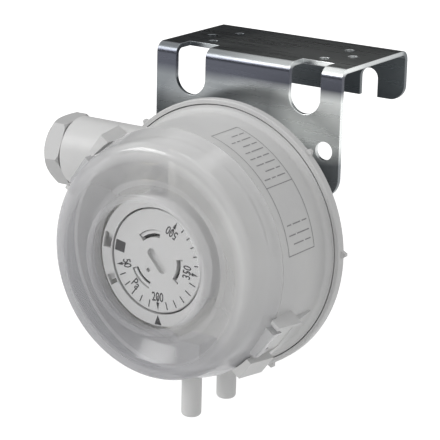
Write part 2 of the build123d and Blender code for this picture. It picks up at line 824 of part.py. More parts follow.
# Spindle: screw, thrust flange under the collar's floor, and a drum that carries the dial on three lugs
with BuildPart() as setting_spindle:
    with BuildSketch(radial_section(0)) as turning:
        with BuildLine():
            Polyline(
                (0, screw_end),
                (screw_radius, screw_end),
                (screw_radius, flange_rear),
                (spindle_flange_radius, flange_rear),
                (spindle_flange_radius, flange_front),
                (journal_radius, flange_front),
                (journal_radius, dial_back),
                (journal_radius - journal_wall, dial_back),
                (journal_radius - journal_wall, flange_rear + journal_floor),
                (0, flange_rear + journal_floor),
                close=True,
            )
        make_face()
        chamfer(turning.vertices().sort_by_distance((screw_radius, screw_end))[0], screw_tip_chamfer)
    revolve(axis=switch_axis)
    with BuildSketch(facing(dial_back)):
        for angle in window_angles:
            first = angle - window_half_angle + lug_play
            span = 2 * (window_half_angle - lug_play)
            with BuildLine():
                outer = CenterArc((0, 0), window_out_radius - hook_clearance, first, span)
                inner = CenterArc((0, 0), window_out_radius - hook_clearance - hook_width, first, span)
                Line(outer @ 0, inner @ 0)
                Line(outer @ 1, inner @ 1)
            make_face()
    extrude(amount=lug_height)
setting_spindle.part.label = "setting_spindle"
export_step(setting_spindle.part, "parts/setting_spindle.step")

# Flat rubber ring that seals the spindle's flange to the tube's end
with BuildPart() as spindle_seal:
    with BuildSketch(facing(flange_rear)):
        Circle(ring_radius + ring_section)
        Circle(ring_radius - ring_section, mode=Mode.SUBTRACT)
    extrude(amount=-2 * ring_section)
spindle_seal.part.label = "spindle_seal"
export_step(spindle_seal.part, "parts/spindle_seal.step")

# Dial: a disc with three arc windows for the spindle's lugs and a screwdriver recess
with BuildPart() as setting_dial:
    with BuildSketch(facing(dial_back)):
        Circle(dial_radius)
    extrude(amount=dial_thickness)
    chamfer(setting_dial.edges().group_by(Axis.Y)[0], dial_chamfer)
    with BuildSketch(facing(dial_back)):
        for angle in window_angles:
            first = angle - window_half_angle
            with BuildLine():
                outer = CenterArc((0, 0), window_out_radius, first, 2 * window_half_angle)
                inner = CenterArc((0, 0), window_in_radius, first, 2 * window_half_angle)
                Line(outer @ 0, inner @ 0)
                Line(outer @ 1, inner @ 1)
            make_face()
    extrude(amount=dial_thickness, mode=Mode.SUBTRACT)
    with BuildSketch(facing(dial_front)):
        SlotOverall(slot_length, slot_width, rotation=slot_angle)
    extrude(amount=-slot_depth, mode=Mode.SUBTRACT)
    with BuildSketch(facing(dial_front)):
        with Locations(dot_place):
            Circle(dot_radius)
    extrude(amount=-dot_depth, mode=Mode.SUBTRACT)
setting_dial.part.label = "setting_dial"
export_step(setting_dial.part, "parts/setting_dial.step")

# Scale collar: a cup round the dial with a flat front ring, screwed to the three posts over the spindle's flange
with BuildPart() as scale_collar:
    with BuildSketch(radial_section(0)):
        with BuildLine():
            Polyline(
                (journal_radius + running_gap, flange_front + running_gap),
                (spindle_flange_radius + collar_gap / 2, flange_front + running_gap),
                (spindle_flange_radius + collar_gap / 2, tube_front),
                (collar_radius + collar_wall, tube_front),
                (collar_radius + collar_wall, collar_rim_front - collar_rim_thickness),
                (collar_rim_radius, collar_rim_front - collar_rim_thickness),
                (collar_rim_radius, collar_rim_front),
                (collar_radius, collar_rim_front),
                (collar_radius, collar_front),
                (journal_radius + running_gap, collar_front),
                close=True,
            )
        make_face()
    revolve(axis=switch_axis)
    with BuildSketch(facing(collar_rim_front)):
        for start, span in collar_window_angles:
            with BuildLine():
                outer = CenterArc((0, 0), collar_rim_radius - collar_window_margin, start, span)
                inner = CenterArc((0, 0), collar_radius + collar_window_margin, start, span)
                Line(outer @ 0, inner @ 0)
                Line(outer @ 1, inner @ 1)
            make_face()
    extrude(amount=-2 * collar_rim_thickness, mode=Mode.SUBTRACT)
    with BuildSketch(facing(tube_front)):
        with Locations(*collar_posts_at):
            Circle(small_screw_radius + small_hole_clearance)
    extrude(amount=collar_floor, mode=Mode.SUBTRACT)
scale_collar.part.label = "scale_collar"
export_step(scale_collar.part, "parts/scale_collar.step")

with BuildPart() as collar_screws:
    with BuildSketch(facing(collar_front)):
        with Locations(*collar_posts_at):
            Circle(small_head_radius)
    extrude(amount=small_head_height)
    with BuildSketch(facing(collar_front)):
        with Locations(*collar_posts_at):
            Circle(small_screw_radius)
    extrude(amount=-small_screw_length)
    with BuildSketch(facing(collar_front + small_head_height)):
        with Locations(*collar_posts_at):
            Rectangle(small_recess_length, recess_width)
            Rectangle(recess_width, small_recess_length)
    extrude(amount=-recess_depth, mode=Mode.SUBTRACT)
collar_screws.part.label = "collar_screws"
export_step(collar_screws.part, "parts/collar_screws.step")

# Microswitch body, screwed flat to the carrier wall, with two cheeks for the lever's pin
with BuildPart() as microswitch_body:
    with BuildSketch(facing(switch_rear)):
        with Locations((switch_x, switch_bottom)):
            Rectangle(switch_width, switch_length, align=(Align.CENTER, Align.MIN))
    extrude(amount=switch_height)
    with BuildSketch(facing(switch_rear)):
        cheek = (switch_width - lever_width) / 2 - cheek_gap
        with Locations((switch_x - switch_width / 2, switch_top)):
            Rectangle(cheek, cheek_height, align=(Align.MIN, Align.MAX))
        with Locations((switch_x + switch_width / 2, switch_top)):
            Rectangle(cheek, cheek_height, align=(Align.MAX, Align.MAX))
    extrude(amount=-cheek_reach)
    with BuildSketch(side_facing(switch_x)):
        with Locations((hinge_depth, hinge_height)):
            Circle(lever_pin_radius)
    extrude(amount=switch_width, both=True, mode=Mode.SUBTRACT)
    with BuildSketch(side_facing(switch_x)):
        with Locations(*body_screws_at):
            Circle(small_screw_radius + small_hole_clearance)
    extrude(amount=switch_width, both=True, mode=Mode.SUBTRACT)
    with BuildSketch(facing(switch_rear)):
        with Locations((switch_x, plunger_height)):
            Circle(plunger_radius + running_gap)
    extrude(amount=plunger_hole_depth, mode=Mode.SUBTRACT)
    with BuildSketch(facing(switch_front)):
        with Locations(*[(switch_x, height) for height in tab_heights]):
            Rectangle(tab_width, tab_thickness)
    extrude(amount=-tab_root, mode=Mode.SUBTRACT)
microswitch_body.part.label = "microswitch_body"
export_step(microswitch_body.part, "parts/microswitch_body.step")

with BuildPart() as switch_plunger:
    with BuildSketch(facing(leaf_front + lever_gap)):
        with Locations((switch_x, plunger_height)):
            Circle(plunger_radius)
    extrude(amount=plunger_length)
    fillet(switch_plunger.edges().group_by(Axis.Y)[-1], plunger_radius / 2)
switch_plunger.part.label = "switch_plunger"
export_step(switch_plunger.part, "parts/switch_plunger.step")

with BuildPart() as switch_lever:
    with BuildSketch(side_facing(switch_x)):
        with Locations((hinge_depth, hinge_height)):
            Rectangle(lever_thickness, lever_tip_inset - lever_hinge_inset, align=(Align.CENTER, Align.MAX))
        with Locations((hinge_depth, hinge_height)):
            Circle(lever_eye_radius)
            Circle(lever_pin_radius + running_gap, mode=Mode.SUBTRACT)
    extrude(amount=lever_width / 2, both=True)
switch_lever.part.label = "switch_lever"
export_step(switch_lever.part, "parts/switch_lever.step")

with BuildPart() as lever_pin:
    with BuildSketch(side_facing(switch_x)):
        with Locations((hinge_depth, hinge_height)):
            Circle(lever_pin_radius)
    extrude(amount=switch_width / 2, both=True)
lever_pin.part.label = "lever_pin"
export_step(lever_pin.part, "parts/lever_pin.step")

with BuildPart() as switch_screws:
    with BuildSketch(side_facing(switch_x - switch_width / 2)):
        with Locations(*body_screws_at):
            Circle(small_head_radius)
    extrude(amount=small_head_height)
    with BuildSketch(side_facing(switch_x - switch_width / 2)):
        with Locations(*body_screws_at):
            Circle(small_screw_radius)
    extrude(amount=-(switch_width + switch_screw_bite))
    with BuildSketch(side_facing(switch_x - switch_width / 2 - small_head_height)):
        with Locations(*body_screws_at):
            Rectangle(small_recess_length, recess_width)
    extrude(amount=-recess_depth, mode=Mode.SUBTRACT)
switch_screws.part.label = "switch_screws"
export_step(switch_screws.part, "parts/switch_screws.step")

# Three push-on tabs of the microswitch: common, normally closed and normally open
tab_names = ("terminal_common", "terminal_closed", "terminal_open")
for tab_name, height in zip(tab_names, tab_heights):
    with BuildPart() as tab:
        with BuildSketch(level(height, switch_x)) as blade:
            with Locations((0, -(switch_front - tab_root))):
                Rectangle(tab_width, tab_root + tab_reach, align=(Align.CENTER, Align.MAX))
            chamfer(blade.vertices().group_by(Axis.Y)[0], tab_corner)
            with Locations((0, -(switch_front + tab_reach - tab_width / 2))):
                Circle(tab_hole_radius, mode=Mode.SUBTRACT)
        extrude(amount=tab_thickness / 2, both=True)
    tab.part.label = tab_name
    export_step(tab.part, "parts/" + tab_name + ".step")

# Clear cover: skirt over the neck, rounded shoulder, dished face and a raised window over the dial
with BuildPart() as clear_cover:
    with BuildSketch(radial_section(0)) as bell:
        inner_shoulder = (inner_shoulder_radius, cover_front - cover_wall)
        with BuildLine():
            Polyline(
                (neck_radius + cover_clearance, cover_lip_depth),
                (cover_lip_radius, cover_lip_depth),
                (cover_front_radius, cover_front),
                (cover_land_radius, cover_front),
                (cover_dish_radius, cover_dish_depth),
                (window_base_radius, cover_dish_depth),
                (window_top_radius, window_front),
                (0, window_front),
                (0, window_front - cover_wall),
                (window_top_radius - cover_wall, window_front - cover_wall),
                (window_base_radius - cover_wall, cover_dish_depth - cover_wall),
                (inner_dish_radius, cover_dish_depth - cover_wall),
                (inner_land_radius, cover_front - cover_wall),
                inner_shoulder,
                (stop_radius, neck_front),
                (neck_radius + cover_clearance, neck_front),
                close=True,
            )
        make_face()
        fillet(bell.vertices().sort_by_distance((cover_front_radius, cover_front))[0], cover_shoulder_radius)
        fillet(bell.vertices().sort_by_distance(inner_shoulder)[0], cover_shoulder_radius - cover_wall / 2)
        fillet(bell.vertices().sort_by_distance((cover_land_radius, cover_front))[0], cover_land_fillet)
        fillet(bell.vertices().sort_by_distance((cover_dish_radius, cover_dish_depth))[0], cover_dish_fillet)
        fillet(bell.vertices().sort_by_distance((window_top_radius, window_front))[0], window_fillet)
    revolve(axis=switch_axis)
    claw_face = barrel_radius + claw_rise
    for angle in ear_angles:
        with BuildSketch(radial_section(angle).offset(-claw_shift)):
            with BuildLine():
                Polyline(
                    (neck_radius + cover_clearance, cover_lip_depth),
                    (claw_face, cover_lip_depth),
                    (claw_face, cover_lip_depth + claw_height - claw_gap),
                    (claw_face - claw_gap, cover_lip_depth + claw_height),
                    (neck_radius + cover_clearance, cover_lip_depth + claw_height),
                    close=True,
                )
            make_face()
        extrude(amount=claw_plate_half_width, both=True)
        for side in (-1, 1):
            with BuildSketch(radial_section(angle).offset(side * claw_offset - claw_shift)):
                with Locations((claw_face, cover_lip_depth + claw_gap)):
                    claw_thickness = claw_rise - ear_recess_rise - cover_clearance
                    Rectangle(claw_thickness, claw_reach + claw_gap, align=(Align.MAX, Align.MAX))
            extrude(amount=claw_width / 2, both=True)
clear_cover.part.label = "clear_cover"
export_step(clear_cover.part, "parts/clear_cover.step")

# Gland body: threaded neck on a root that sits in the boss, with a seat for the seal
with BuildPart() as gland_body:
    with BuildSketch(gland_facing(0)):
        Circle(gland_neck_radius)
    extrude(amount=gland_neck_length)
    with BuildSketch(gland_facing(0)):
        Circle(gland_root_radius)
    extrude(amount=-gland_root_length)
    with BuildSketch(gland_facing(0)):
        Circle(gland_neck_radius - gland_neck_wall)
    extrude(amount=gland_neck_length, mode=Mode.SUBTRACT)
    with BuildSketch(gland_facing(0)):
        Circle(cable_passage_radius)
    extrude(amount=-gland_root_length, mode=Mode.SUBTRACT)
gland_body.part.label = "gland_body"
export_step(gland_body.part, "parts/gland_body.step")

# Gland nut: a hexagon over the neck, its front edges chamfered to a cone
with BuildPart() as gland_nut:
    corner_radius = nut_across_flats / 2 / cos(radians(180 / nut_sides))
    with BuildSketch(gland_facing(nut_gap)):
        RegularPolygon(nut_across_flats / 2, nut_sides, major_radius=False, rotation=-nut_turn)
    extrude(amount=nut_length)
    with BuildSketch(gland_section()):
        with BuildLine():
            Polyline(
                (0, nut_gap),
                (corner_radius - nut_rear_chamfer, nut_gap),
                (corner_radius, nut_gap + nut_rear_chamfer),
                (corner_radius, nut_gap + nut_length - nut_chamfer),
                (nut_across_flats / 2 - nut_chamfer_width, nut_gap + nut_length),
                (0, nut_gap + nut_length),
                close=True,
            )
        make_face()
    revolve(axis=gland_axis, mode=Mode.INTERSECT)
    with BuildSketch(gland_facing(nut_gap)):
        Circle(gland_neck_radius + running_gap)
    extrude(amount=nut_length - nut_end_wall, mode=Mode.SUBTRACT)
    with BuildSketch(gland_facing(nut_gap)):
        Circle(nut_hole_radius)
    extrude(amount=nut_length, mode=Mode.SUBTRACT)
gland_nut.part.label = "gland_nut"
export_step(gland_nut.part, "parts/gland_nut.step")

with BuildPart() as gland_seal:
    with BuildSketch(gland_facing(0)):
        Circle(seal_radius)
        Circle(seal_bore_radius, mode=Mode.SUBTRACT)
    extrude(amount=seal_length)
gland_seal.part.label = "gland_seal"
export_step(gland_seal.part, "parts/gland_seal.step")

with BuildPart() as gland_washer:
    with BuildSketch(gland_facing(seal_length)):
        Circle(gland_neck_radius - washer_gap)
        Circle(nut_hole_radius, mode=Mode.SUBTRACT)
    extrude(amount=gland_washer_thickness)
gland_washer.part.label = "gland_washer"
export_step(gland_washer.part, "parts/gland_washer.step")
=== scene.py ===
import bmesh
import bpy
from math import cos, radians, sin
from mathutils import Matrix, Vector


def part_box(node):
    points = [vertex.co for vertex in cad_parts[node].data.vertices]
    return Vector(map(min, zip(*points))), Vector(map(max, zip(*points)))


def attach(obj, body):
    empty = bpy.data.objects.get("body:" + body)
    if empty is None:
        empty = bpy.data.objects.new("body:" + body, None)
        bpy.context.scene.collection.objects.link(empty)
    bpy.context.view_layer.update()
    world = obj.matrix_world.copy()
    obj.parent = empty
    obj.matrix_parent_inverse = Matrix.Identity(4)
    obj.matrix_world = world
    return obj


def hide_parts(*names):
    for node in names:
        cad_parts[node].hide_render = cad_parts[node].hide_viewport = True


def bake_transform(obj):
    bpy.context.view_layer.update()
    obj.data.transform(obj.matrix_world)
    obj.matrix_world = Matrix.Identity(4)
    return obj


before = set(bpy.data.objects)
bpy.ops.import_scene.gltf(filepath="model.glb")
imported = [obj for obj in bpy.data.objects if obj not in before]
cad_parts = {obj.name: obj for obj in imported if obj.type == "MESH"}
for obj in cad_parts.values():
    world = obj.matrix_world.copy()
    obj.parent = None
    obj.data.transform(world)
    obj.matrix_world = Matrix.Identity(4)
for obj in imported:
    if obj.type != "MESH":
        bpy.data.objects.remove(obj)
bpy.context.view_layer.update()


# Wall bracket: a strip of 1.5 mm zinc-coated steel, punched and then folded twice into a shelf with a wall
# flange behind and a front plate that hangs down. Its cut edges are bare and catch the light.

MM = 0.001


def linear(text):
    """Turns an sRGB hex colour such as #C8C8C8 into the linear colour that a socket takes."""
    parts = [int(text[place:place + 2], 16) / 255 for place in (1, 3, 5)]
    return tuple(part / 12.92 if part <= 0.04045 else ((part + 0.055) / 1.055) ** 2.4 for part in parts) + (1.0,)


def add(tree, kind, links=None, **settings):
    """Adds one node. A link's value is a socket to read or a number or colour to set."""
    node = tree.nodes.new("ShaderNode" + kind)
    for name, value in settings.items():
        setattr(node, name, value)
    for socket, value in (links or {}).items():
        if isinstance(value, bpy.types.NodeSocket):
            tree.links.new(value, node.inputs[socket])
        else:
            node.inputs[socket].default_value = value
    return node


def material(name, colour, roughness, metallic=0.0):
    """Starts a material: its node tree, its one Principled shader with a plain colour, and the place in metres."""
    made = bpy.data.materials.new(name)
    made.use_nodes = True
    tree = made.node_tree
    shader = tree.nodes["Principled BSDF"]
    shader.inputs["Base Color"].default_value = linear(colour)
    shader.inputs["Roughness"].default_value = roughness
    shader.inputs["Metallic"].default_value = metallic
    return made, tree, shader, add(tree, "TexCoord").outputs["Object"]


def merged(node):
    """A copy of a CAD node's mesh with its doubled points merged."""
    same_point = 0.004 * MM
    work = bmesh.new()
    work.from_mesh(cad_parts[node].data)
    bmesh.ops.remove_doubles(work, verts=work.verts, dist=same_point)
    return work


def whole(work):
    """Makes each flat face of a bmesh one face again."""
    flat_within = radians(0.6)
    bmesh.ops.dissolve_limit(work, angle_limit=flat_within, verts=work.verts, edges=work.edges)
    return work


def finished(work, name, finish, body, edge=0.15, segments=2, stands_for=()):
    """A piece that bends between two bodies rides on neither, so its body is None.
    """
    smooth_below = radians(33)
    eased_above = radians(34)
    for face in work.faces:
        face.smooth = True
        face.material_index = 0
    for side in work.edges:
        side.smooth = side.calc_face_angle(0.0) < smooth_below
    shape = bpy.data.meshes.new(name)
    work.to_mesh(shape)
    work.free()
    shape.materials.append(finish)
    piece = bpy.data.objects.new(name, shape)
    bpy.context.scene.collection.objects.link(piece)
    if edge:
        ease = piece.modifiers.new("eased_edges", "BEVEL")
        ease.width = edge * MM
        ease.segments = segments
        ease.limit_method = "ANGLE"
        ease.angle_limit = eased_above
        even = piece.modifiers.new("even_shading", "WEIGHTED_NORMAL")
        even.keep_sharp = True
    if body:
        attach(piece, body)
    for node in stands_for:
        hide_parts(node)
    return piece


def dressed(node, finish, body, edge=0.15, segments=2):
    """A merged copy of a CAD node with eased edges, a finish and its own ride. Edge is in mm."""
    return finished(whole(merged(node)), node + "_skin", finish, body, edge, segments, [node])


# Hot-dip galvanised sheet: a soft mirror with light and dark bands, spotted where the die pressed it
galvanised, tree, shader, place = material("galvanised_sheet_steel", "#A4A7AA", 0.3, 1.0)
# A noise's Scale is how many of its spots lie along a metre, so the sheet's gentle waves are some 45 mm wide
wave = add(tree, "TexNoise", {"Vector": place, "Scale": 22.0, "Detail": 1.0})
# Rolled-in scratches run along X, and pits of under a millimetre crowd into the band that the folding die pressed
long_way = add(tree, "Mapping", {"Vector": place, "Scale": (30.0, 700.0, 700.0), "Rotation": (0.0, 0.5, 0.0)})
scratches = add(tree, "TexNoise", {"Vector": long_way.outputs["Vector"],
                                   "Scale": 1.0, "Detail": 3.0, "Roughness": 0.6})
pits = add(tree, "TexNoise", {"Vector": place, "Scale": 1100.0, "Detail": 3.0, "Roughness": 0.7})
axes = add(tree, "SeparateXYZ", {"Vector": place})
shelf_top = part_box("mounting_bracket")[1][2]
above = add(tree, "MapRange", {"Value": axes.outputs["Z"],
                               "From Min": shelf_top - 10 * MM, "From Max": shelf_top - 6.5 * MM})
below = add(tree, "MapRange", {"Value": axes.outputs["Z"],
                               "From Min": shelf_top - 1.0 * MM, "From Max": shelf_top - 2.2 * MM})
pressed = add(tree, "Math", {0: above.outputs["Result"], 1: below.outputs["Result"]}, operation="MULTIPLY")
crowd = add(tree, "MapRange", {"Value": pressed.outputs["Value"], "To Min": 0.62, "To Max": 0.5})
spots = add(tree, "Math", {0: pits.outputs["Fac"], 1: crowd.outputs["Result"]}, operation="GREATER_THAN")
# A painted reflection makes the plate brightest on its right side, and painted shade makes it duller to the left and
# below
plate_y = -40.3 * MM
brightest = (29 * MM, plate_y, -5 * MM)
from_brightest = add(tree, "VectorMath", {0: place, 1: brightest}, operation="DISTANCE")
painted_reflection = add(tree, "MapRange", {"Value": from_brightest.outputs["Value"],
                                 "From Min": 2 * MM, "From Max": 21 * MM, "To Min": 1.1, "To Max": 0.0})
left_side = add(tree, "MapRange", {"Value": axes.outputs["X"],
                                   "From Min": -34 * MM, "From Max": -16 * MM, "To Min": -0.3, "To Max": 0.0})
low_side = add(tree, "MapRange", {"Value": axes.outputs["Z"],
                                  "From Min": -20 * MM, "From Max": -11 * MM, "To Min": -0.35, "To Max": 0.0})
painted_shade_sides = add(tree, "Math", {0: low_side.outputs["Result"], 1: left_side.outputs["Result"]}, operation="ADD")
painted_light_sum = add(tree, "Math", {0: painted_reflection.outputs["Result"], 1: painted_shade_sides.outputs["Value"]}, operation="ADD")
bright = add(tree, "Math", {0: wave.outputs["Fac"], 1: painted_light_sum.outputs["Value"]}, operation="ADD")
tint = add(tree, "ValToRGB", {"Fac": bright.outputs["Value"]})
tint.color_ramp.elements[0].position = 0.35
tint.color_ramp.elements[0].color = linear("#787C7F")
tint.color_ramp.elements[1].position = 0.95
tint.color_ramp.elements[1].color = linear("#E6E9E8")
# Sockets 0, 6 and 7 of a colour mix are its factor and its two colours, and 2 is its result
# Under the fold, in the same band, the sheet is drawn a darker blue-grey
darker_band = add(tree, "Mix", {0: pressed.outputs["Value"], 6: tint.outputs["Color"], 7: linear("#4E5058")},
            data_type="RGBA")
# The wall flange lies in the shelf's shade, which is painted on it as a duller grey all over
painted_wall_shade = add(tree, "MapRange", {"Value": axes.outputs["Y"], "From Min": -4 * MM, "From Max": -2 * MM})
grey = add(tree, "Mix", {0: painted_wall_shade.outputs["Result"], 6: darker_band.outputs[2], 7: linear("#606467")}, data_type="RGBA")
tree.links.new(grey.outputs[2], shader.inputs["Base Color"])
dull = add(tree, "MapRange", {"Value": scratches.outputs["Fac"],
                              "From Min": 0.3, "From Max": 0.75, "To Min": 0.26, "To Max": 0.32})
tree.links.new(dull.outputs["Result"], shader.inputs["Roughness"])
sway = add(tree, "Bump", {"Height": wave.outputs["Fac"], "Strength": 1.0, "Distance": 0.7 * MM})
grain = add(tree, "Bump", {"Height": spots.outputs["Value"], "Normal": sway.outputs["Normal"],
                           "Strength": 0.12, "Distance": 0.03 * MM})
lines = add(tree, "Bump", {"Height": scratches.outputs["Fac"], "Normal": grain.outputs["Normal"],
                           "Strength": 0.05, "Distance": 0.03 * MM})
tree.links.new(lines.outputs["Normal"], shader.inputs["Normal"])
dressed("mounting_bracket", galvanised, "housing", edge=0.18)


# Bracket screws: two pan heads of zinc-plated steel, driven from behind the front plate into the rear
# housing. They are cold headed, so the rims of their heads are round.

# Bright zinc plating: a cold mirror, hazy in spots of about a millimetre
zinc, tree, shader, place = material("bright_zinc_plate", "#B4B6B6", 0.28, 1.0)
haze = add(tree, "TexNoise", {"Vector": place, "Scale": 900.0, "Detail": 3.0})
dull = add(tree, "MapRange", {"Value": haze.outputs["Fac"], "To Min": 0.18, "To Max": 0.4})
tree.links.new(dull.outputs["Result"], shader.inputs["Roughness"])
dressed("bracket_screws", zinc, "housing", edge=0.1)


# Rear housing: an injection-moulded cup of light grey ABS. Its rim is the widest part of the switch and
# has snap bumps on its edge; the hose spigot of the higher pressure stands below it.

# Moulded ABS: an even light grey with a silky sheen
moulded, tree, shader, place = material("abs_light_grey", "#C6C6C6", 0.46)
shader.inputs["IOR"].default_value = 1.53
# The spark-eroded mould texture is drawn a little coarse, at some 0.4 mm, so that it shows
texture = add(tree, "TexNoise", {"Vector": place, "Scale": 2600.0, "Detail": 2.0, "Roughness": 0.5})
cloud = add(tree, "TexNoise", {"Vector": place, "Scale": 60.0, "Detail": 3.0})
shade = add(tree, "ValToRGB", {"Fac": cloud.outputs["Fac"]})
shade.color_ramp.elements[0].position = 0.3
shade.color_ramp.elements[0].color = linear("#C2C2C2")
shade.color_ramp.elements[1].position = 0.75
shade.color_ramp.elements[1].color = linear("#CACAC9")
tree.links.new(shade.outputs["Color"], shader.inputs["Base Color"])
rough = add(tree, "MapRange", {"Value": texture.outputs["Fac"], "To Min": 0.38, "To Max": 0.54})
tree.links.new(rough.outputs["Result"], shader.inputs["Roughness"])
relief = add(tree, "Bump", {"Height": texture.outputs["Fac"], "Strength": 0.12, "Distance": 0.05 * MM})
tree.links.new(relief.outputs["Normal"], shader.inputs["Normal"])
dressed("rear_housing", moulded, "housing", edge=0.25)


# Diaphragm group: a milky silicone membrane with a moulded roll, stiffened by a plate of natural polyamide
# in front and a steel disc behind, and a ring of the same silicone round the lift pin. The membrane's edge is
# clamped and its middle lifts, and it is made in eight sectors cut along radii, which ride on no body.

# Milky silicone: light goes a little way in and comes back soft, under a dull bloom
silicone, tree, shader, place = material("silicone_rubber", "#D9D5C8", 0.5)
shader.inputs["Subsurface Weight"].default_value = 0.2
shader.inputs["Subsurface Radius"].default_value = (2.0 * MM, 1.8 * MM, 1.5 * MM)
bloom = add(tree, "TexNoise", {"Vector": place, "Scale": 300.0, "Detail": 4.0})
rough = add(tree, "MapRange", {"Value": bloom.outputs["Fac"], "To Min": 0.38, "To Max": 0.62})
tree.links.new(rough.outputs["Result"], shader.inputs["Roughness"])


def cut_away(work, point, drop):
    """Cuts a bmesh with a plane, drops the side that the direction drop points to, and closes the cut."""
    on_plane = 0.001 * MM
    cut = bmesh.ops.bisect_plane(work, geom=work.verts[:] + work.edges[:] + work.faces[:], dist=on_plane,
                                 plane_co=point, plane_no=drop, clear_outer=True)
    rim = [item for item in cut["geom_cut"] if isinstance(item, bmesh.types.BMEdge)]
    bmesh.ops.holes_fill(work, edges=rim)


def ray_from_axis(angle, reach=1.0):
    """A step of this length away from the switch's axis, at this angle in degrees from the right."""
    return Vector((reach * cos(radians(angle)), 0, reach * sin(radians(angle))))


axis_z = -43.8 * MM
axis_point = Vector((0, plate_y, axis_z))
sectors = 8
sector_angle = 360 / sectors
square_to_side = 90 + sector_angle / 2
# Each sector is cut out between two planes through the axis, and rides on no body
for number in range(sectors):
    middle = sector_angle * number
    sector = merged("diaphragm")
    cut_away(sector, axis_point, ray_from_axis(middle + square_to_side))
    cut_away(sector, axis_point, ray_from_axis(middle - square_to_side))
    piece = finished(whole(sector), f"diaphragm_sector_{number + 1}", silicone, None,
                     edge=0, stands_for=["diaphragm"])
    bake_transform(piece)
dressed("pin_seal", silicone, "housing", edge=0.1)

# Natural polyamide: creamy white and waxy
natural, tree, shader, place = material("natural_polyamide", "#DEDDD6", 0.42)
flow = add(tree, "TexNoise", {"Vector": place, "Scale": 1200.0, "Detail": 2.0})
relief = add(tree, "Bump", {"Height": flow.outputs["Fac"], "Strength": 0.1, "Distance": 0.05 * MM})
tree.links.new(relief.outputs["Normal"], shader.inputs["Normal"])
dressed("diaphragm_plate", natural, "lift", edge=0.12)

# Rolled stainless steel: grey, with uneven gloss in streaks some 12 mm long and 0.4 mm wide
stainless, tree, shader, place = material("stainless_disc", "#A9AAAB", 0.3, 1.0)
rolled = add(tree, "Mapping", {"Vector": place, "Scale": (80.0, 80.0, 2500.0)})
streaks = add(tree, "TexNoise", {"Vector": rolled.outputs["Vector"], "Scale": 1.0, "Detail": 3.0})
rough = add(tree, "MapRange", {"Value": streaks.outputs["Fac"], "To Min": 0.2, "To Max": 0.42})
tree.links.new(rough.outputs["Result"], shader.inputs["Roughness"])
dressed("diaphragm_washer", stainless, "lift", edge=0.08)


# Front housing: barrel and gland boss moulded in one piece of the same grey ABS, with two snap ears at its
# front edge and the hose spigot of the lower pressure below. A partition of natural polyamide is welded
# against a ledge inside it and carries the spring's tube and the microswitch.

dressed("front_housing", moulded, "housing", edge=0.25)
dressed("partition", natural, "housing", edge=0.12)


# Printed label on the barrel: a thin frame with rows of short bars in it, pad printed in grey ink. Each bar
# is a short edge spun round the switch's axis, a few hundredths of a millimetre proud.

# Grey pad ink: the mould texture speckles it, so from a little way off its grey looks uneven
ink, tree, shader, place = material("grey_pad_ink", "#7C7C7E", 0.6)
speckle = add(tree, "TexNoise", {"Vector": place, "Scale": 1800.0, "Detail": 3.0})
thin = add(tree, "ValToRGB", {"Fac": speckle.outputs["Fac"]})
thin.color_ramp.elements[0].color = linear("#727274")
thin.color_ramp.elements[1].color = linear("#9C9C9D")
tree.links.new(thin.outputs["Color"], shader.inputs["Base Color"])
label = bmesh.new()
# The barrel tapers a little from the parting line to the front, and the ink stands just proud of it
barrel_radius = 38.6
barrel_taper = 0.0125
parting_depth = 12.7
ink_height = 0.04
facet_angle = 1.5


def printed_bar(first_angle, last_angle, rear, front):
    """Adds a bar of print to the label: angles from the right in degrees, depths in mm."""
    ends = []
    for depth in (rear, front):
        radius = (barrel_radius - barrel_taper * (depth - parting_depth) + ink_height) * MM
        ends.append(label.verts.new((radius, plate_y - depth * MM, axis_z)))
    side = label.edges.new(ends)
    to_first = Matrix.Rotation(radians(-first_angle), 3, "Y")
    bmesh.ops.rotate(label, verts=ends, cent=axis_point, matrix=to_first)
    span = last_angle - first_angle
    steps = max(1, round(span / facet_angle))
    bmesh.ops.spin(label, geom=ends + [side], cent=axis_point, axis=(0, -1, 0), angle=radians(span), steps=steps)


# The frame's sides and divider are angles in degrees, its ends depths in mm, its line about as wide either way
low_edge, divider, high_edge = 8, 39.4, 75
label_rear, label_front = 19.9, 33.65
line = 0.25
line_angle = 0.4
printed_bar(low_edge, high_edge, label_rear, label_rear + line)
printed_bar(low_edge, high_edge, label_front - line, label_front)
for angle in (low_edge, high_edge - line_angle, divider):
    printed_bar(angle, angle + line_angle, label_rear, label_front)
# Each row stands at its angle and runs along the depth, in bars of these lengths with small gaps between
rows = ((12.5, (3.0, 5.2)), (16.5, (6.4, 3.4)), (21, (2.6, 4.0, 2.2)), (43, (4.2, 2.0, 3.0)), (46.8, (2.2, 4.8)),
        (50.6, (5.0, 3.8)), (54.4, (3.2, 2.4, 2.6)), (58.2, (6.0, 2.4)), (62, (2.8, 3.6)), (65.8, (4.6, 1.6, 2.0)),
        (69.6, (2.4, 3.2)))
row_start = 21.3
bar_angle = 0.55
bar_gap = 0.8
for angle, lengths in rows:
    start_depth = row_start
    for length in lengths:
        printed_bar(angle, angle + bar_angle, start_depth, start_depth + length)
        start_depth += length + bar_gap
bmesh.ops.recalc_face_normals(label, faces=label.faces)
finished(label, "label_print", ink, "housing", edge=0)
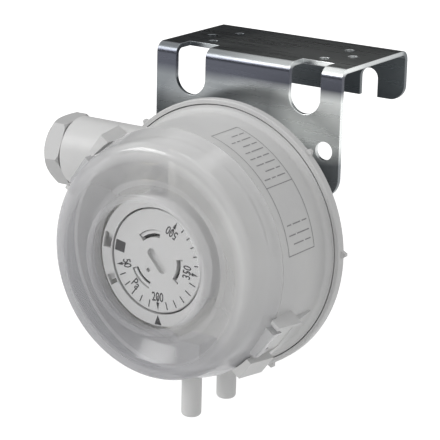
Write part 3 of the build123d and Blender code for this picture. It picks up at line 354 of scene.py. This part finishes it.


# Range spring and its seat: a stainless compression spring, and a turned brass nut with two keys that
# slides in the housing's tube as the spindle's thread draws it along. The spring is cut at its middle into a
# rear half and a front half, which ride on no body.

# Drawn stainless wire: bright, with fine dull specks
spring_steel, tree, shader, place = material("stainless_spring_wire", "#A2A4A6", 0.24, 1.0)
drawn = add(tree, "TexNoise", {"Vector": place, "Scale": 2500.0, "Detail": 2.0})
rough = add(tree, "MapRange", {"Value": drawn.outputs["Fac"], "To Min": 0.16, "To Max": 0.34})
tree.links.new(rough.outputs["Result"], shader.inputs["Roughness"])
spring_low, spring_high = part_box("range_spring")
rear_end = Vector((0, spring_high[1], axis_z))
front_end = Vector((0, spring_low[1], axis_z))
middle = (rear_end + front_end) / 2
rear_half = merged("range_spring")
cut_away(rear_half, middle, Vector((0, -1, 0)))
piece = finished(whole(rear_half), "range_spring_rear", spring_steel, None,
                 edge=0, stands_for=["range_spring"])
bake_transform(piece)
front_half = merged("range_spring")
cut_away(front_half, middle, Vector((0, 1, 0)))
piece = finished(whole(front_half), "range_spring_front", spring_steel, None,
                 edge=0, stands_for=["range_spring"])
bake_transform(piece)

# Turned brass: warm yellow under a cloudy tarnish
brass, tree, shader, place = material("turned_brass", "#C9A45C", 0.28, 1.0)
tarnish = add(tree, "TexNoise", {"Vector": place, "Scale": 500.0, "Detail": 4.0})
tone = add(tree, "ValToRGB", {"Fac": tarnish.outputs["Fac"]})
tone.color_ramp.elements[0].color = linear("#B8924C")
tone.color_ramp.elements[1].color = linear("#D3B06C")
tree.links.new(tone.outputs["Color"], shader.inputs["Base Color"])
dressed("spring_seat", brass, "seat", edge=0.12)


# Spindle seal: a flat ring stamped from a sheet of black nitrile rubber. It lies between the end of the
# spring's tube and the spindle's flange, and closes the tube.

# Nitrile rubber: near black and dull, with a patchy skin
nitrile, tree, shader, place = material("nitrile_rubber", "#17181A", 0.55)
skin = add(tree, "TexNoise", {"Vector": place, "Scale": 1500.0, "Detail": 3.0})
rough = add(tree, "MapRange", {"Value": skin.outputs["Fac"], "To Min": 0.42, "To Max": 0.7})
tree.links.new(rough.outputs["Result"], shader.inputs["Roughness"])
dressed("spindle_seal", nitrile, "housing", edge=0)


# Scale collar: a white moulded sleeve round the dial with a flat rim on a level with it. Two windows in the
# rim show the setting's end stops, and three small screws hold its floor.

# White ABS: clean and silky, with a very fine mould texture
white, tree, shader, place = material("white_abs", "#C0C0C0", 0.4)
texture = add(tree, "TexNoise", {"Vector": place, "Scale": 3000.0, "Detail": 2.0})
rough = add(tree, "MapRange", {"Value": texture.outputs["Fac"], "To Min": 0.34, "To Max": 0.5})
tree.links.new(rough.outputs["Result"], shader.inputs["Roughness"])
relief = add(tree, "Bump", {"Height": texture.outputs["Fac"], "Strength": 0.1, "Distance": 0.04 * MM})
tree.links.new(relief.outputs["Normal"], shader.inputs["Normal"])
dressed("scale_collar", white, "housing", edge=0.15)
dressed("collar_screws", zinc, "housing", edge=0.08)

# Black pad ink: a thin and slightly dull print
black_ink, tree, shader, place = material("black_pad_ink", "#2B2A2C", 0.5)
speckle = add(tree, "TexNoise", {"Vector": place, "Scale": 2200.0, "Detail": 3.0})
rough = add(tree, "MapRange", {"Value": speckle.outputs["Fac"], "To Min": 0.4, "To Max": 0.62})
tree.links.new(rough.outputs["Result"], shader.inputs["Roughness"])


def on_dial(radius, angle, depth):
    """A point at this radius in mm and angle in degrees from the right, at a depth in mm."""
    return Vector((radius * cos(radians(angle)) * MM, plate_y - depth * MM, axis_z + radius * sin(radians(angle)) * MM))


def patch(work, points):
    """Adds one flat printed patch, wound so that it faces the reader."""
    face = work.faces.new([work.verts.new(point) for point in points])
    face.normal_update()
    if face.normal.y > 0:
        face.normal_flip()


# The index is an upright black triangle at the bottom of the rim, printed with its point towards the dial
print_height = 0.02
dial_face = 46.1 + print_height
rim_face = 46.3 + print_height
index_mark = bmesh.new()
patch(index_mark, [on_dial(16.5, -87, rim_face), on_dial(19.6, -83.2, rim_face), on_dial(19.6, -90.8, rim_face)])
finished(index_mark, "index_mark", black_ink, "housing", edge=0)
# The rim's two windows are shallow pockets, and their floors stand on the sleeve below the rim
floor_thickness = 0.5 * MM
pockets = bmesh.new()
for middle, half, depth in ((162, 8.2, 43.6), (203, 5.7, 45.2)):
    ends = [pockets.verts.new(on_dial(radius, middle - half, depth)) for radius in (16.5, 19.7)]
    side = pockets.edges.new(ends)
    bmesh.ops.spin(pockets, geom=ends + [side], cent=(0, plate_y, axis_z), axis=(0, -1, 0),
                   angle=radians(2 * half), steps=6)
bmesh.ops.solidify(pockets, geom=pockets.faces[:], thickness=floor_thickness)
bmesh.ops.recalc_face_normals(pockets, faces=pockets.faces)
finished(pockets, "collar_pockets", white, "housing", edge=0.05)


# Setting dial and spindle: a white disc with a screwdriver recess and three windows, in which the lugs of
# the spindle's drum stand. Ticks, numerals, the unit, four arrows and a square are pad printed in black.

dressed("setting_dial", white, "dial", edge=0.08)

# Acetal with a dull shine, carrying the painted shade that stands for the dark hollow in the dial's windows
acetal_with_painted_shade, tree, shader, place = material("acetal_with_painted_shade", "#1F2022", 0.4)
# The drum is painted near black as shade, and only the lugs' tips, from half a millimetre under their ends, are white
painted_shade_behind = plate_y - 45.1 * MM
axes = add(tree, "SeparateXYZ", {"Vector": place})
tip = add(tree, "Math", {0: axes.outputs["Y"], 1: painted_shade_behind}, operation="LESS_THAN")
white_tips_on_painted_shade = add(tree, "Mix", {0: tip.outputs["Value"], 6: linear("#1F2022"), 7: linear("#C8C8C8")}, data_type="RGBA")
tree.links.new(white_tips_on_painted_shade.outputs[2], shader.inputs["Base Color"])
flow = add(tree, "TexNoise", {"Vector": place, "Scale": 1000.0, "Detail": 2.0})
rough = add(tree, "MapRange", {"Value": flow.outputs["Fac"], "To Min": 0.32, "To Max": 0.5})
tree.links.new(rough.outputs["Result"], shader.inputs["Roughness"])
dressed("setting_spindle", acetal_with_painted_shade, "dial", edge=0.12)

# Six steps of the scale lead from each numbered mark to the next
numbered = {"50": -166, "200": -87, "350": -7, "500": 61.4}
tick_angles = [numbered["50"]]
for text, step in (("50", 79 / 6), ("200", 13.33), ("350", 11.4)):
    tick_angles += [numbered[text] + step * number for number in range(1, 7)]
marks = bmesh.new()
for angle in tick_angles:
    if min(abs(angle - mark) for mark in numbered.values()) < 1:
        # An arrow: a thin shaft that starts between the digits, and a narrow head whose point meets the edge
        outlines = [((10.6, -0.7), (10.6, 0.7), (13.1, 0.6), (13.1, -0.6)), ((15.1, 0), (12.7, -2.5), (12.7, 2.5))]
    else:
        # The ticks of the upper half are short and stand at the edge, those of the lower half are longer
        inner = 12.5 if angle < numbered["350"] else 13.5
        outlines = [((inner, -0.85), (inner, 0.85), (14.9, 0.75), (14.9, -0.75))]
    for outline in outlines:
        patch(marks, [on_dial(radius, angle + aside, dial_face) for radius, aside in outline])
square = [(11.8, 162.5), (15.3, 164), (15.3, 177), (11.8, 178.5)]
patch(marks, [on_dial(radius, angle, dial_face) for radius, angle in square])
finished(marks, "dial_marks", black_ink, "dial", edge=0)


def numeral(text, radius, angle, size):
    """Prints one text on the dial, its middle at this place and its foot towards the dial's edge."""
    letters = bpy.data.curves.new("letters", "FONT")
    letters.body = text
    letters.size = size * MM
    letters.offset = 0.07 * MM
    letters.align_x = "CENTER"
    letters.align_y = "CENTER"
    holder = bpy.data.objects.new("letters", letters)
    shape = bpy.data.meshes.new_from_object(holder)
    bpy.data.objects.remove(holder)
    foot_outwards = Matrix.Rotation(radians(-(angle + 90)), 4, "Y")
    narrow = Matrix.Diagonal((0.72, 1, 1, 1))
    upright = Matrix.Rotation(radians(90), 4, "X")
    shape.transform(Matrix.Translation(on_dial(radius, angle, dial_face)) @ foot_outwards @ narrow @ upright)
    work = bmesh.new()
    work.from_mesh(shape)
    bpy.data.meshes.remove(shape)
    finished(work, "numeral_" + text, black_ink, "dial", edge=0)


for text, angle in numbered.items():
    numeral(text, 11.1, angle, 3.9)
numeral("Pa", 11.3, -131, 4.2)


# Microswitch: a black phenolic body with a red plunger, a sprung lever on a pin, two screws through it
# and three tinned brass tabs that point to the cover.

# Black phenolic: dull, and faintly mottled by its filler
phenolic, tree, shader, place = material("black_phenolic", "#2A2A2D", 0.5)
filler = add(tree, "TexNoise", {"Vector": place, "Scale": 1600.0, "Detail": 4.0})
rough = add(tree, "MapRange", {"Value": filler.outputs["Fac"], "To Min": 0.38, "To Max": 0.6})
tree.links.new(rough.outputs["Result"], shader.inputs["Roughness"])
dressed("microswitch_body", phenolic, "housing", edge=0.2)

# Red acetal: a slick red button
acetal, tree, shader, place = material("red_acetal", "#B23A26", 0.35)
flow = add(tree, "TexNoise", {"Vector": place, "Scale": 900.0})
rough = add(tree, "MapRange", {"Value": flow.outputs["Fac"], "To Min": 0.28, "To Max": 0.42})
tree.links.new(rough.outputs["Result"], shader.inputs["Roughness"])
dressed("switch_plunger", acetal, "plunger", edge=0)
dressed("switch_lever", spring_steel, "lever", edge=0.06)
dressed("lever_pin", spring_steel, "housing", edge=0.06)
dressed("switch_screws", zinc, "housing", edge=0.08)

# Tinned brass: a pale metal with brass showing through in clouds
tinned, tree, shader, place = material("tinned_brass", "#C8C2AE", 0.3, 1.0)
stain = add(tree, "TexNoise", {"Vector": place, "Scale": 700.0, "Detail": 4.0})
tone = add(tree, "ValToRGB", {"Fac": stain.outputs["Fac"]})
tone.color_ramp.elements[0].color = linear("#B7AE94")
tone.color_ramp.elements[1].color = linear("#D2CDBD")
tree.links.new(tone.outputs["Color"], shader.inputs["Base Color"])
for node in ("terminal_common", "terminal_closed", "terminal_open"):
    dressed(node, tinned, "housing", edge=0.06)


# Clear cover: a click-fit bell of smoky polycarbonate with a textured, hazy shoulder and a polished raised
# window over the dial. Haze hides what is behind the shoulder, and the window's flat is clear.

# Smoky polycarbonate: clear over the dial, and elsewhere a grey veil with soft lights and shapes behind it
smoky, tree, shader, place = material("smoky_polycarbonate", "#BEBEBE", 0.22)
shader.inputs["IOR"].default_value = 1.58
axes = add(tree, "SeparateXYZ", {"Vector": place})
high = add(tree, "Math", {0: axes.outputs["Z"], 1: -axis_z}, operation="ADD")
across = add(tree, "CombineXYZ", {"X": axes.outputs["X"], "Y": high.outputs["Value"]})
radius = add(tree, "VectorMath", {0: across.outputs["Vector"]}, operation="LENGTH")
# The mould is polished inside this radius and finely blasted outside, and the haze there is a little cloudy
polished = 19.0 * MM
haze = add(tree, "MapRange", {"Value": radius.outputs["Value"],
                              "From Min": polished, "From Max": 19.8 * MM, "To Min": 0.04, "To Max": 0.42})
# The bell is thickest where its shoulder rolls into the skirt, and milkiest there
rolled = add(tree, "MapRange", {"Value": radius.outputs["Value"],
                                "From Min": 30.5 * MM, "From Max": 35.0 * MM, "To Min": 0.0, "To Max": 0.3})
milky = add(tree, "Math", {0: haze.outputs["Result"], 1: rolled.outputs["Result"]}, operation="ADD")
swirl = add(tree, "TexNoise", {"Vector": place, "Scale": 40.0, "Detail": 2.0})
uneven = add(tree, "MapRange", {"Value": swirl.outputs["Fac"], "To Min": 0.94, "To Max": 1.06})
cloudy = add(tree, "Math", {0: milky.outputs["Value"], 1: uneven.outputs["Result"]}, operation="MULTIPLY")
# Haze scatters light forward, so what lies behind is lit better than it is seen
rays = add(tree, "LightPath")
lighting = add(tree, "Math", {0: rays.outputs["Is Shadow Ray"], 1: rays.outputs["Is Diffuse Ray"]},
               operation="ADD", use_clamp=True)
onward = add(tree, "MapRange", {"Value": lighting.outputs["Value"], "To Min": 1.0, "To Max": 0.25})
veil = add(tree, "Math", {0: cloudy.outputs["Value"], 1: onward.outputs["Result"]}, operation="MULTIPLY")
tree.links.new(veil.outputs["Value"], shader.inputs["Alpha"])
gloss = add(tree, "MapRange", {"Value": radius.outputs["Value"],
                               "From Min": polished, "From Max": 21.5 * MM, "To Min": 0.04, "To Max": 0.15})
tree.links.new(gloss.outputs["Result"], shader.inputs["Roughness"])
# Painted shade darkens the cover's grey low on the left, and painted light brightens it to the upper right
lit_direction = (0.57, 0.82, 0.0)
along = add(tree, "VectorMath", {0: across.outputs["Vector"], 1: lit_direction}, operation="DOT_PRODUCT")
painted_light_share = add(tree, "MapRange", {"Value": along.outputs["Value"], "From Min": -26 * MM, "From Max": 26 * MM})
smoke_and_painted_light = add(tree, "Mix", {0: painted_light_share.outputs["Result"], 6: linear("#9E9EA2"), 7: linear("#CECECE")}, data_type="RGBA")
tree.links.new(smoke_and_painted_light.outputs[2], shader.inputs["Base Color"])
dressed("clear_cover", smoky, "cover", edge=0.4, segments=3)


# Cable gland: a threaded body of slightly darker grey polyamide set in the boss, a hexagon nut over its neck,
# and a black rubber seal with a thrust ring inside. The nut can be turned by hand or with a spanner.

# Grey polyamide: a shade darker and waxier than the housing
gland_grey, tree, shader, place = material("gland_polyamide", "#B2B2B2", 0.46)
flow = add(tree, "TexNoise", {"Vector": place, "Scale": 1400.0, "Detail": 2.0})
rough = add(tree, "MapRange", {"Value": flow.outputs["Fac"], "To Min": 0.36, "To Max": 0.5})
tree.links.new(rough.outputs["Result"], shader.inputs["Roughness"])
relief = add(tree, "Bump", {"Height": flow.outputs["Fac"], "Strength": 0.08, "Distance": 0.04 * MM})
tree.links.new(relief.outputs["Normal"], shader.inputs["Normal"])
dressed("gland_body", gland_grey, "housing", edge=0.12)
dressed("gland_nut", gland_grey, "nut", edge=0.3, segments=3)
dressed("gland_seal", nitrile, "housing", edge=0.1)
dressed("gland_washer", natural, "housing", edge=0.08)


# Stage: a wide pale floor below the hanging switch, a plain white world, soft lamps and the camera that
# was fitted to the photograph. None of it belongs to the object.

# Pale floor: white to the eye, with the object's soft shadow on it
pale, tree, shader, place = material("pale_floor", "#F4F4F4", 0.9)
rays = add(tree, "LightPath")
watched = add(tree, "Math", {0: rays.outputs["Is Camera Ray"], 1: rays.outputs["Is Glossy Ray"]}, operation="ADD")
looked_at = add(tree, "Math", {0: watched.outputs["Value"], 1: rays.outputs["Is Transmission Ray"]},
                operation="ADD", use_clamp=True)
# The lamps reach less of the floor far off, so it glows more there and meets the white world unseen
far_off = add(tree, "VectorMath", {0: place}, operation="LENGTH")
glow = add(tree, "MapRange", {"Value": far_off.outputs["Value"],
                              "From Min": 0.25, "From Max": 0.9, "To Min": 0.3, "To Max": 0.75})
seen = add(tree, "Math", {0: looked_at.outputs["Value"], 1: glow.outputs["Result"]}, operation="MULTIPLY")
shader.inputs["Emission Color"].default_value = (1.0, 1.0, 1.0, 1.0)
tree.links.new(seen.outputs["Value"], shader.inputs["Emission Strength"])
floor_height = -0.17
floor_reach = 4.0
ground = bmesh.new()
bmesh.ops.create_grid(ground, x_segments=1, y_segments=1, size=floor_reach,
                      matrix=Matrix.Translation((0, 0, floor_height)))
shape = bpy.data.meshes.new("floor")
ground.to_mesh(shape)
ground.free()
shape.materials.append(pale)
floor = bpy.data.objects.new("floor", shape)
bpy.context.scene.collection.objects.link(floor)

world = bpy.data.worlds.new("studio")
bpy.context.scene.world = world
world.use_nodes = True
tree = world.node_tree
background = tree.nodes["Background"]
rays = add(tree, "LightPath")
# A dark curtain hangs along the left side of the room, from the floor to some 35 degrees up. Only gloss shows it.
aim = add(tree, "SeparateXYZ", {"Vector": add(tree, "TexCoord").outputs["Generated"]})
leftward = add(tree, "MapRange", {"Value": aim.outputs["X"], "From Min": 0.3, "From Max": 0.0})
off_floor = add(tree, "MapRange", {"Value": aim.outputs["Z"], "From Min": 0.0, "From Max": 0.06})
under_top = add(tree, "MapRange", {"Value": aim.outputs["Z"], "From Min": 0.62, "From Max": 0.5})
across = add(tree, "Math", {0: leftward.outputs["Result"], 1: off_floor.outputs["Result"]}, operation="MULTIPLY")
curtain = add(tree, "Math", {0: across.outputs["Value"], 1: under_top.outputs["Result"]}, operation="MULTIPLY")
mirrored = add(tree, "MapRange", {"Value": curtain.outputs["Value"], "To Min": 1.0, "To Max": 0.0})
watched = add(tree, "Math", {0: rays.outputs["Is Camera Ray"], 1: rays.outputs["Is Transmission Ray"]},
              operation="ADD", use_clamp=True)
lit = add(tree, "MapRange", {"Value": watched.outputs["Value"], "To Min": 0.42, "To Max": 1.0})
# Sockets 2 and 3 of a mix of numbers are its two numbers, and 0 is its factor and its result
level = add(tree, "Mix", {0: rays.outputs["Is Glossy Ray"], 2: lit.outputs["Result"], 3: mirrored.outputs["Result"]},
            data_type="FLOAT")
background.inputs["Color"].default_value = (1.0, 1.0, 1.0, 1.0)
tree.links.new(level.outputs[0], background.inputs["Strength"])

# Each lamp's place and width are in metres, and its power in watts
lamps = [("key_lamp", (-0.7, -0.8, 0.6), 0.5, 7.8),
         ("fill_lamp", (0.9, -0.6, 0.3), 0.7, 1.2),
         ("top_lamp", (0.1, 0.1, 1.1), 0.8, 3.4)]
lit_point = Vector((0, -0.05, -0.04))
for name, spot, size, power in lamps:
    lamp = bpy.data.lights.new(name, "AREA")
    lamp.size = size
    lamp.energy = power
    holder = bpy.data.objects.new(name, lamp)
    holder.location = spot
    holder.rotation_euler = (Vector(spot) - lit_point).to_track_quat("Z", "Y").to_euler()
    bpy.context.scene.collection.objects.link(holder)

view = bpy.data.cameras.new("photograph")
view.lens = 165.79
view.sensor_width = 36.0
view.clip_start = 0.01
view.dof.use_dof = False
camera = bpy.data.objects.new("photograph", view)
camera.location = (0.329118, -0.550060, 0.136320)
camera.rotation_euler = (radians(73.61695), radians(-1.30340), radians(33.89976))
bpy.context.scene.collection.objects.link(camera)
bpy.context.scene.camera = camera
bpy.context.scene.view_settings.view_transform = "Standard"
